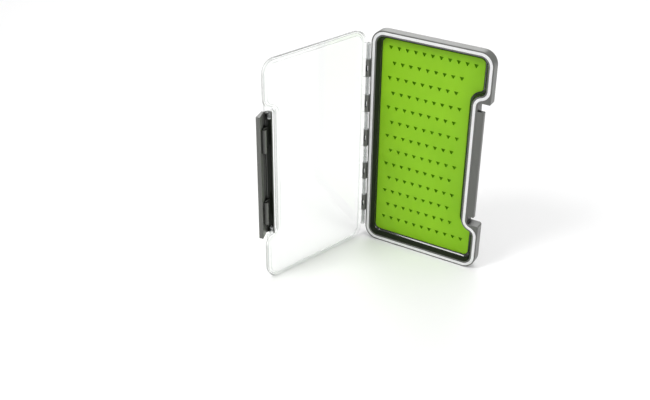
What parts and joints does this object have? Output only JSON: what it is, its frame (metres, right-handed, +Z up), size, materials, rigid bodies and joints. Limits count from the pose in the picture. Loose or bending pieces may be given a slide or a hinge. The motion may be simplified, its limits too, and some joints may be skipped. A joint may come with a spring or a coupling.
{
  "type": "fly box",
  "caption": "Slim hinged fishing fly box standing open on one end: grey tray with a slit silicone insert and rim seal, clear lid and a long pivoting snap latch.",
  "frame": {"origin": "centre of the open box's footprint, on the surface it stands on", "axes": "+Z up along the hinge and the box's length, +X from the hinge to the front of the tray, -Y out of the open tray"},
  "size_m": [0.1412, 0.114, 0.1881],
  "materials": {
    "tray_plastic": "satin moulded",
    "latch_plastic": "satin moulded",
    "lid_clear": "clear, polished",
    "seal_rubber": "smooth white",
    "insert_silicone": "smooth lime green",
    "pin_steel": "drawn wire"
  },
  "bodies": {
    "tray": {"base_tray": "tray_plastic", "seal_ring": "seal_rubber", "slit_insert": "insert_silicone", "hinge_pin": "pin_steel"},
    "lid": {"lid_cover": "lid_clear"},
    "latch_arm": {"latch": "latch_plastic"}
  },
  "joints": [
    {"name": "lid_hinge", "type": "hinge", "parent": "tray", "child": "lid", "pos_m": [-0.03282, 0.04726, 0.09405], "axis": [0, 0, -1], "range_deg": [-108, 72]},
    {"name": "latch_pivot", "type": "hinge", "parent": "lid", "child": "latch_arm", "pos_m": [-0.06496, -0.04471, 0.09405], "axis": [0, 0, -1], "range_deg": [-62, 48]}
  ]
}
